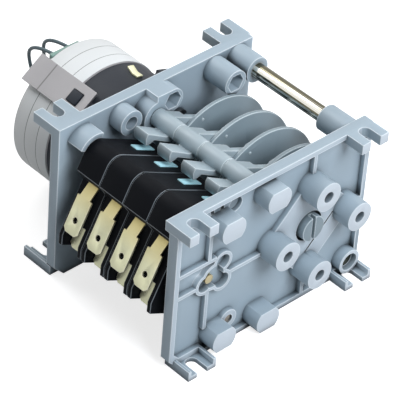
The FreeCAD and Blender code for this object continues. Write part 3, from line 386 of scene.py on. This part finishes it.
def stamped_brass(name, colour, deep):
    """Half-hard brass strip, rolled and stamped: a soft metallic gloss with fine rolling lines,
    a faint tarnish in patches, paler low on the blades and yellower towards the root."""
    material, tree, shader, place = new_surface(name, {"Metallic": 0.85})
    low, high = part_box("common_terminal_1")
    root = low[2] + ROOT_SHARE * (high[2] - low[2])
    climb = ramped(tree, coordinate(tree, place, "Z"), root, high[2])
    tarnish = drifting(tree, place, colour, 3 * MM, 0.12)
    set_colour(tree, shader, mixed(tree, climb, tarnish, deep))
    vary_roughness(tree, shader, place, 1.5 * MM, 0.32, 0.5)
    lines = clouds(tree, place, 2 * MM, 2.0, (1.0, 12.0, 1.0))
    add_bump(tree, shader, lines, 0.08, 0.03 * MM)
    return material


def drawn_metal(name, colour, rough=(0.2, 0.34)):
    """Drawn steel or turned brass bar: a bright metal with drawing lines along its length."""
    material, tree, shader, place = new_surface(name, {"Metallic": 1.0})
    set_colour(tree, shader, drifting(tree, place, colour, 5 * MM, 0.05))
    vary_roughness(tree, shader, place, 3 * MM, *rough)
    lines = clouds(tree, place, 0.4 * MM, 2.0, (1.0, 0.05, 1.0))
    add_bump(tree, shader, lines, 0.06, 0.02 * MM)
    return material


def polished_bar(name, colour, streak):
    """Bright drawn steel bar, polished lengthwise: nearly a mirror, with fine drawing lines in
    its bump and narrow dark streaks from end to end painted in as reflections. The sawn ends
    stay dull and dark."""
    material, tree, shader, place = new_surface(name, {"Metallic": 1.0})
    vary_roughness(tree, shader, place, 3 * MM, 0.1, 0.2)
    lines = clouds(tree, place, 0.8 * MM, 1.5, (1.0, 0.004, 1.0))
    facing = reckoned(tree, "ABSOLUTE", coordinate(tree, surface_normal(tree), "Y"))
    side = reckoned(tree, "LESS_THAN", facing, 0.5)
    # painted reflection: the sides take the bright colour between dark streaks, and faces
    # looking along the rod stay dark
    bright = reckoned(tree, "MULTIPLY", ramped(tree, lines, 0.43, 0.56), side)
    set_colour(tree, shader, mixed(tree, bright, streak, colour))
    add_bump(tree, shader, lines, 0.15, 0.03 * MM)
    return material


def plated_sheet(name, colour, fold=None):
    """Zinc-plated sheet steel: a soft grey metal sheen with faint spangle, and a dark line of
    painted shade where it is folded."""
    material, tree, shader, place = new_surface(name, {"Metallic": 0.75})
    base = drifting(tree, place, colour, 4 * MM, 0.05)
    # painted shade: a dark line along the fold, where the crease is shaded
    if fold:
        line = ramped(tree, distance_along(tree, place, fold), 0.1 * MM, 0.3 * MM, 0.5, 1.0)
        base = mixed(tree, 1.0, base, line, "MULTIPLY")
    set_colour(tree, shader, base)
    vary_roughness(tree, shader, place, 2 * MM, 0.38, 0.5)
    spangle = add_node(tree, "ShaderNodeTexVoronoi", {"Scale": 1 / (1.2 * MM)},
                       {"Vector": place})
    add_bump(tree, shader, spangle.outputs["Distance"], 0.05, 0.02 * MM)
    return material


def printed_wrap(name, colour, rule):
    """A polyester label film wrapped round the can: a smooth off-white satin with two
    thin printed rules round it and no words."""
    material, tree, shader, place = new_surface(name, {"IOR": 1.5, "Roughness": 0.45})
    low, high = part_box("motor_label")
    ink = 0.0
    for share in RULE_SHARES:
        away = distance_along(tree, place, low[1] + share * (high[1] - low[1]))
        line = reckoned(tree, "LESS_THAN", away, RULE_HALF_WIDTH)
        ink = reckoned(tree, "MAXIMUM", ink, line)
    base = drifting(tree, place, colour, 9 * MM, 0.03)
    set_colour(tree, shader, mixed(tree, ink, base, rule))
    add_bump(tree, shader, clouds(tree, place, 5 * MM, 1.0), 0.1, 0.05 * MM)
    return material


def extruded_insulation(name, colour):
    """Extruded vinyl insulation: a soft sheen, slightly uneven along the wire."""
    material, tree, shader, place = new_surface(name, {"IOR": 1.53})
    set_colour(tree, shader, drifting(tree, place, colour, 7 * MM, 0.08))
    vary_roughness(tree, shader, place, 3 * MM, 0.35, 0.5)
    return material


def wound_copper(name, colour):
    """Enamelled copper wire in even turns: reddish metal with a fine ribbing."""
    material, tree, shader, place = new_surface(name, {"Metallic": 0.9, "Roughness": 0.35})
    turns = add_node(tree, "ShaderNodeTexWave",
                     {"wave_type": "BANDS", "bands_direction": "Y", "Scale": 1 / (1.5 * MM)},
                     {"Vector": place})
    add_bump(tree, shader, turns.outputs["Fac"], 0.4, 0.1 * MM)
    set_colour(tree, shader, drifting(tree, place, colour, 5 * MM, 0.06))
    return material


# Modelling helpers

def deselect_all():
    if bpy.context.object and bpy.context.object.mode != "OBJECT":
        bpy.ops.object.mode_set(mode="OBJECT")
    bpy.ops.object.select_all(action="DESELECT")


def make_active(piece):
    deselect_all()
    piece.select_set(True)
    bpy.context.view_layer.objects.active = piece


def body_name(node):
    bodies = frame["record"]["behaviour"]["bodies"]
    return next(body for body, nodes in bodies.items() if node in nodes)


def copied(node):
    """A copy of a CAD node with its doubled corners merged."""
    source = frame["nodes"][node]
    piece = bpy.data.objects.new(node + "_finished", source.data.copy())
    bpy.context.scene.collection.objects.link(piece)
    make_active(piece)
    bpy.ops.object.mode_set(mode="EDIT")
    bpy.ops.mesh.select_all(action="SELECT")
    bpy.ops.mesh.remove_doubles(threshold=MERGE_DISTANCE)
    bpy.ops.mesh.dissolve_limited(angle_limit=FLAT_ANGLE)
    bpy.ops.object.mode_set(mode="OBJECT")
    return piece


def select_corners(piece, chosen):
    """Selects the corners of a piece that a test chooses, and leaves it in edit mode."""
    make_active(piece)
    bpy.ops.object.mode_set(mode="EDIT")
    bpy.ops.mesh.select_mode(type="VERT")
    bpy.ops.mesh.select_all(action="DESELECT")
    bpy.ops.object.mode_set(mode="OBJECT")
    for vertex in piece.data.vertices:
        vertex.select = chosen(vertex.co)
    bpy.ops.object.mode_set(mode="EDIT")


def mark_outer_edges(piece, angle):
    """Gives the sharp outward edges a bevel weight, and leaves inward corners sharp."""
    shell = bmesh.new()
    shell.from_mesh(piece.data)
    weight = shell.edges.layers.float.new("bevel_weight_edge")
    for edge in shell.edges:
        if edge.is_manifold and edge.calc_face_angle_signed() > angle:
            edge[weight] = 1.0
    shell.to_mesh(piece.data)
    shell.free()


def finished(piece, node, material, edge, rim=None):
    """Rounds the outward edges of a copy, gives it its finish and lets it replace its
    node. The rounded edges take the rim finish where one is given."""
    mark_outer_edges(piece, RIM_ANGLE if rim else EDGE_ANGLE)
    make_active(piece)
    piece.data.materials.clear()
    piece.data.materials.append(material)
    bevel = piece.modifiers.new("Rounded edges", "BEVEL")
    if rim:
        piece.data.materials.append(rim)
        bevel.material = 1
    bevel.width = edge
    bevel.segments = 2
    bevel.limit_method = "WEIGHT"
    bevel.use_clamp_overlap = rim is None
    bpy.ops.object.modifier_apply(modifier=bevel.name)
    bpy.ops.object.shade_smooth_by_angle(angle=SMOOTH_ANGLE)
    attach(piece, body_name(node))
    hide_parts(node)
    return piece


def dressed(node, material, edge, rim=None):
    return finished(copied(node), node, material, edge, rim)


def painted(node, material):
    """Gives a CAD node its finish as it is."""
    node_object = frame["nodes"][node]
    node_object.data.materials.clear()
    node_object.data.materials.append(material)


def numbered(stem):
    return [f"{stem}_{k}" for k in range(1, COUNT + 1)]


class CAMTIMER_OT_end_plates(bpy.types.Operator):
    """Finishes the two moulded end plates"""

    bl_idname = "cam_timer.end_plates"
    bl_label = "End plates"

    def execute(self, context):
        finish = finish_settings()
        # glass-filled PBT: cool grey satin, with painted highlights on its edges and foremost
        # faces and painted shade in its bores and corners
        material = moulded_plastic("Grey moulded PBT", tuple(finish.plate_colour), painted_shade=0.5,
                                   face=tuple(finish.plate_face_highlight), rim=tuple(finish.plate_rim_highlight))
        for node in ("front_plate", "rear_plate"):
            dressed(node, material, finish.plate_edge)
        deselect_all()
        bpy.ops.mesh.primitive_cylinder_add(
            vertices=48, radius=finish.vent_across / 2, depth=VENT_THICK,
            location=VENT_PLACE, rotation=(math.radians(90), 0, 0))
        floor = context.object
        floor.name = "vent_floor"
        bpy.ops.object.transform_apply(location=True, rotation=True, scale=True)
        bpy.ops.object.mode_set(mode="EDIT")
        bpy.ops.mesh.select_mode(type="FACE")
        bpy.ops.mesh.select_all(action="DESELECT")
        bpy.ops.object.mode_set(mode="OBJECT")
        for face in floor.data.polygons:
            face.select = face.normal.y < VENT_FRONT
        bpy.ops.object.mode_set(mode="EDIT")
        bpy.ops.mesh.inset(thickness=VENT_RIM, depth=0)
        bpy.ops.transform.translate(value=(0, VENT_DISH, 0))
        bpy.ops.object.mode_set(mode="OBJECT")
        bpy.ops.object.shade_smooth_by_angle(angle=SMOOTH_ANGLE)
        # the same plastic deep in the vent, painted darker as shade, with no painted highlights
        # on its edges
        shaded = moulded_plastic("Shaded grey PBT", tuple(finish.vent_shade_colour))
        floor.data.materials.append(shaded)
        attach(floor, body_name("front_plate"))
        return {"FINISHED"}


class CAMTIMER_OT_cams(bpy.types.Operator):
    """Finishes the programme cams, their shaft and its coupling"""

    bl_idname = "cam_timer.cams"
    bl_label = "Cams and shaft"

    def execute(self, context):
        finish = finish_settings()
        # acetal: a deeper blue grey, painted darker as shade, with the slippery gloss of a
        # running part and a painted highlight on its edges
        material = moulded_plastic("Blue grey moulded acetal", tuple(finish.cam_shade_colour),
                                   (0.34, 0.46), rim=tuple(finish.cam_rim_highlight))
        for node in numbered("cam") + ["cam_shaft"]:
            dressed(node, material, finish.small_edge)
        # nylon: dark grey and dull, hardly seen behind the drum
        dark = moulded_plastic("Dark moulded nylon", tuple(finish.gearbox_colour))
        dressed("drive_coupling", dark, finish.small_edge)
        return {"FINISHED"}


class CAMTIMER_OT_levers(bpy.types.Operator):
    """Finishes the four rocking levers"""

    bl_idname = "cam_timer.levers"
    bl_label = "Levers"

    def execute(self, context):
        finish = finish_settings()
        # acetal: as glossy as the cams and nearly as pale as the plates, with a painted
        # highlight on its edges
        material = moulded_plastic("Grey moulded acetal", tuple(finish.lever_colour),
                                   (0.34, 0.46), rim=tuple(finish.cam_rim_highlight))
        for node in numbered("rocker_lever"):
            piece = copied(node)
            low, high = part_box(node)
            level = high[2] - finish.lip_drop
            select_corners(piece, lambda spot: spot.x < low[0] + LIP_REACH and spot.z < level)
            bpy.ops.transform.resize(value=(1, 1, 0), center_override=(low[0], low[1], level))
            bpy.ops.mesh.select_all(action="SELECT")
            bpy.ops.mesh.dissolve_degenerate(threshold=LIP_MERGE)
            bpy.ops.mesh.dissolve_limited(angle_limit=LIP_FLAT_ANGLE)
            bpy.ops.object.mode_set(mode="OBJECT")
            finished(piece, node, material, finish.small_edge)
        return {"FINISHED"}


class CAMTIMER_OT_switches(bpy.types.Operator):
    """Finishes the switch housings and their plungers"""

    bl_idname = "cam_timer.switches"
    bl_label = "Switches"

    def execute(self, context):
        finish = finish_settings()
        # phenolic: near black with almost no sheen, so that the stack reads as one dark block
        black = moulded_plastic("Black moulded phenolic", tuple(finish.switch_colour),
                                (0.5, 0.65), 0.06)
        # its edges get a painted highlight, a thin grey line round each housing
        edge_highlight = moulded_plastic("Phenolic edge highlight", tuple(finish.switch_rim_highlight), (0.35, 0.5))
        # nylon: the one strong colour, a pale blue strip on each switch
        blue = moulded_plastic("Pale blue moulded nylon", tuple(finish.plunger_colour),
                               (0.3, 0.4))
        for node in numbered("switch_housing"):
            dressed(node, black, finish.small_edge, edge_highlight)
        for node in numbered("switch_plunger"):
            piece = copied(node)
            low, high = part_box(node)
            select_corners(piece, lambda spot: spot.y > high[1] - STRIP_SIDE)
            bpy.ops.transform.translate(value=(0, -finish.strip_trim, 0))
            bpy.ops.object.mode_set(mode="OBJECT")
            select_corners(piece, lambda spot: spot.z > low[2] + STRIP_TOP)
            bpy.ops.transform.translate(value=-SLIDE_AXIS * finish.strip_sink)
            bpy.ops.object.mode_set(mode="OBJECT")
            finished(piece, node, blue, finish.small_edge / 2)
        return {"FINISHED"}


class CAMTIMER_OT_terminals(bpy.types.Operator):
    """Finishes the blade terminals and the earth tab"""

    bl_idname = "cam_timer.terminals"
    bl_label = "Terminals"

    def execute(self, context):
        finish = finish_settings()
        deep = tuple(finish.brass_deep)
        # brass: paler low on the blade, yellower at the root
        brass = stamped_brass("Pale stamped brass", tuple(finish.brass_colour), deep)
        # the edges get a painted highlight, a bright line that outlines each blade
        rim = stamped_brass("Brass edge highlight", tuple(finish.brass_rim_highlight), deep)
        for node in numbered("common_terminal") + numbered("contact_terminal"):
            dressed(node, brass, finish.metal_edge, rim)
        # the small tab on the gearbox is pale all over
        pale = stamped_brass("Tinned brass tab", tuple(finish.brass_colour),
                             tuple(finish.brass_colour))
        dressed("gearbox_earth_tab", pale, finish.metal_edge)
        return {"FINISHED"}


class CAMTIMER_OT_bars(bpy.types.Operator):
    """Finishes the rods, pins, lever shaft and screws"""

    bl_idname = "cam_timer.bars"
    bl_label = "Rods and pins"

    def execute(self, context):
        finish = finish_settings()
        # drawn steel: mirrors the white room between its dark streaks, which are painted
        # reflections
        steel = polished_bar("Bright drawn steel", tuple(finish.steel_colour),
                             tuple(finish.reflection_streak_colour))
        # turned brass: a warm glint in the wells
        brass = drawn_metal("Turned brass", tuple(finish.pin_colour))
        # blackened steel: dull screws that stay in the shade
        dull = drawn_metal("Blackened steel", tuple(finish.screw_colour), (0.35, 0.5))
        for node in ("spacer_rod_upper", "spacer_rod_lower", "lever_shaft"):
            dressed(node, steel, finish.metal_edge)
        for k in (1, 2, 3):
            dressed(f"gearbox_screw_{k}", dull, finish.metal_edge)
        # nickel: a greyer, warmer glint beside the low peg
        warm = drawn_metal("Nickel-plated steel", tuple(finish.low_pin_colour))
        dressed("switch_pin_upper", brass, finish.metal_edge)
        dressed("switch_pin_lower", warm, finish.metal_edge)
        return {"FINISHED"}


class CAMTIMER_OT_motor(bpy.types.Operator):
    """Finishes the gearbox, the motor, its wrap and its clips"""

    bl_idname = "cam_timer.motor"
    bl_label = "Motor and gearbox"

    def execute(self, context):
        finish = finish_settings()
        # nylon: a dark matt drum with little sheen
        dark = moulded_plastic("Dark grey moulded nylon", tuple(finish.gearbox_colour),
                               (0.45, 0.6), 0.2)
        # zinc: a flat, warm grey between metal and paint
        sheet = plated_sheet("Zinc-plated sheet steel", tuple(finish.clip_colour))
        # polyester: the whitest surface, with a soft sheen
        wrap = printed_wrap("White polyester wrap", tuple(finish.label_colour),
                            tuple(finish.rule_colour))
        # copper: red brown turns, inside the can
        copper = wound_copper("Enamelled copper winding", tuple(finish.copper_colour))
        # nylon: a small green grey block under the leads
        green = moulded_plastic("Green grey moulded nylon", tuple(finish.grommet_colour))
        dressed("gearbox_housing", dark, finish.small_edge)
        for node in ("motor_can", "motor_end_plate"):
            dressed(node, sheet, finish.metal_edge)
        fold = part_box("motor_clip_1")[1][1] - finish.clip_flare
        # the same zinc on the clips, with a dark line of painted shade at the fold
        spring = plated_sheet("Zinc-plated spring steel", tuple(finish.clip_colour), fold)
        for node in ("motor_clip_1", "motor_clip_2"):
            make_active(dressed(node, spring, finish.metal_edge))
            bpy.ops.object.shade_smooth_by_angle(angle=FOLD_ANGLE)
        dressed("motor_label", wrap, finish.metal_edge / 2)
        dressed("lead_grommet", green, finish.small_edge)
        painted("motor_coil", copper)
        return {"FINISHED"}


# in mm, from the grommet down behind the motor and out along the floor
LEAD_ROUTES = (
    ((-20.8, 103.15, 18.2), (-21.4, 115.0, 17.0), (-17.0, 120.6, 3.0),
     (-6.0, 119.0, -28.4), (24.0, 111.0, -28.4)),
    ((-14.6, 103.15, 18.2), (-14.9, 115.0, 17.0), (-10.4, 121.4, 3.0),
     (1.0, 124.0, -28.4), (27.0, 119.0, -28.4)),
)


class CAMTIMER_OT_leads(bpy.types.Operator):
    """Lays the two motor leads along their routes"""

    bl_idname = "cam_timer.leads"
    bl_label = "Motor leads"

    def execute(self, context):
        finish = finish_settings()
        # vinyl: dark blue grey with a soft sheen
        vinyl = extruded_insulation("Blue grey vinyl insulation", tuple(finish.lead_colour))
        # tin: bright bare ends
        tin = drawn_metal("Tinned copper strand", tuple(finish.tin_colour), (0.3, 0.4))
        for k, route in enumerate(LEAD_ROUTES, 1):
            tip = dressed(f"lead_tip_{k}", tin, finish.metal_edge / 2)
            curve = bpy.data.curves.new(f"motor_lead_{k}_wire", "CURVE")
            curve.dimensions = "3D"
            spline = curve.splines.new("NURBS")
            spline.points.add(len(route) - 1)
            for point, spot in zip(spline.points, route):
                point.co = (*[value * MM for value in spot], 1)
            spline.order_u = 3
            spline.use_endpoint_u = True
            spline.resolution_u = 24
            curve.bevel_depth = finish.lead_thickness / 2
            curve.bevel_resolution = 4
            curve.use_fill_caps = True
            wire = bpy.data.objects.new(f"motor_lead_{k}_wire", curve)
            context.scene.collection.objects.link(wire)
            curve.materials.append(vinyl)
            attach(wire, "timer_frame")
            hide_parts(f"motor_lead_{k}")
        return {"FINISHED"}


def camera_matrix(stage):
    """The camera's place and turn from its angles round the target."""
    azimuth, elevation, roll = stage.azimuth, stage.elevation, stage.roll
    back = Vector((math.sin(azimuth) * math.cos(elevation),
                   -math.cos(azimuth) * math.cos(elevation), math.sin(elevation)))
    level = Vector((math.cos(azimuth), math.sin(azimuth), 0))
    upright = back.cross(level)
    right = level * math.cos(roll) + upright * math.sin(roll)
    up = upright * math.cos(roll) - level * math.sin(roll)
    place = Vector(stage.target) + back * stage.distance
    turn = Matrix((right, up, back)).transposed().to_4x4()
    return Matrix.Translation(place) @ turn


def add_lamp(name, place, target, size, power, tint=(1.0, 1.0, 1.0)):
    lamp = bpy.data.lights.new(name, "AREA")
    lamp.shape = "DISK"
    lamp.size = size
    lamp.energy = power
    lamp.color = tint
    holder = bpy.data.objects.new(name, lamp)
    bpy.context.scene.collection.objects.link(holder)
    holder.location = place
    holder.rotation_euler = (Vector(target) - Vector(place)).to_track_quat("-Z", "Y").to_euler()


def floor_material(stage):
    """Matt white card: even and pale, and it keeps the soft shadow of the object."""
    material, tree, shader, place = new_surface("Matt white card", {"Roughness": 0.9})
    set_colour(tree, shader, drifting(tree, place, tuple(stage.floor_colour), 60 * MM, 0.004))
    feed(tree, shader.inputs["Emission Color"], WHITE)
    path = add_node(tree, "ShaderNodeLightPath")
    glow = reckoned(tree, "MULTIPLY", path.outputs["Is Camera Ray"], stage.floor_glow)
    feed(tree, shader.inputs["Emission Strength"], glow)
    return material


def white_room(stage):
    """Even light from all round: white to the camera, softer on the object."""
    world = bpy.data.worlds.new("Even white room")
    world.use_nodes = True
    tree = world.node_tree
    path = add_node(tree, "ShaderNodeLightPath")
    gloss = reckoned(tree, "MULTIPLY_ADD", path.outputs["Is Glossy Ray"], stage.sky_gloss,
                     stage.sky_strength)
    seen = reckoned(tree, "MAXIMUM", path.outputs["Is Camera Ray"], gloss)
    background = tree.nodes["Background"]
    feed(tree, background.inputs["Color"], WHITE)
    feed(tree, background.inputs["Strength"], seen)
    return world


class CAMTIMER_OT_stage(bpy.types.Operator):
    """Sets the floor, the lamps and the camera"""

    bl_idname = "cam_timer.stage"
    bl_label = "Stage"

    def execute(self, context):
        stage = stage_settings()
        scene = context.scene
        deselect_all()
        level = CAD_BOX[0][2]
        bpy.ops.mesh.primitive_plane_add(size=stage.floor_size, location=(0, 0, level))
        floor = context.object
        floor.name = "stage_floor"
        floor.data.materials.append(floor_material(stage))
        target = tuple(stage.target)
        add_lamp("front_lamp", tuple(stage.key_place), target, LAMP_SIZE, stage.key_power,
                 tuple(stage.key_tint))
        add_lamp("side_lamp", tuple(stage.side_place), target, SIDE_LAMP_SIZE,
                 stage.side_power)
        add_lamp("back_lamp", tuple(stage.back_place), target, LAMP_SIZE, stage.back_power)
        scene.world = white_room(stage)
        camera = bpy.data.cameras.new("photo_camera")
        camera.lens = stage.lens
        camera.sensor_width = SENSOR_WIDTH
        camera.shift_x = stage.shift[0]
        camera.shift_y = stage.shift[1]
        camera.clip_start = 0.01
        holder = bpy.data.objects.new("photo_camera", camera)
        scene.collection.objects.link(holder)
        holder.matrix_world = camera_matrix(stage)
        scene.camera = holder
        scene.view_settings.view_transform = "Standard"
        return {"FINISHED"}


class CAMTIMER_PT_panel(bpy.types.Panel):
    """Lists the pieces, the stage and their settings"""

    bl_idname = "CAMTIMER_PT_panel"
    bl_label = "Cam timer"
    bl_space_type = "VIEW_3D"
    bl_region_type = "UI"
    bl_category = "Cam timer"

    def draw(self, context):
        layout = self.layout
        for operator in OPERATORS:
            layout.operator(operator.bl_idname)
        for group in (context.scene.cam_timer_finish, context.scene.cam_timer_stage):
            box = layout.box()
            for name in group.__annotations__:
                box.prop(group, name)


OPERATORS = (
    CAMTIMER_OT_end_plates,
    CAMTIMER_OT_cams,
    CAMTIMER_OT_levers,
    CAMTIMER_OT_switches,
    CAMTIMER_OT_terminals,
    CAMTIMER_OT_bars,
    CAMTIMER_OT_motor,
    CAMTIMER_OT_leads,
    CAMTIMER_OT_stage,
)
CLASSES = (CamTimerFinish, CamTimerStage, *OPERATORS, CAMTIMER_PT_panel)


def register():
    for item in CLASSES:
        bpy.utils.register_class(item)
    bpy.types.Scene.cam_timer_finish = bpy.props.PointerProperty(type=CamTimerFinish)
    bpy.types.Scene.cam_timer_stage = bpy.props.PointerProperty(type=CamTimerStage)


def unregister():
    del bpy.types.Scene.cam_timer_stage
    del bpy.types.Scene.cam_timer_finish
    for item in reversed(CLASSES):
        bpy.utils.unregister_class(item)


def main():
    register()
    bpy.ops.cam_timer.end_plates()
    bpy.ops.cam_timer.cams()
    bpy.ops.cam_timer.levers()
    bpy.ops.cam_timer.switches()
    bpy.ops.cam_timer.terminals()
    bpy.ops.cam_timer.bars()
    bpy.ops.cam_timer.motor()
    bpy.ops.cam_timer.leads()
    bpy.ops.cam_timer.stage()
    bpy.context.view_layer.update()


if __name__ == "__main__":
    main()
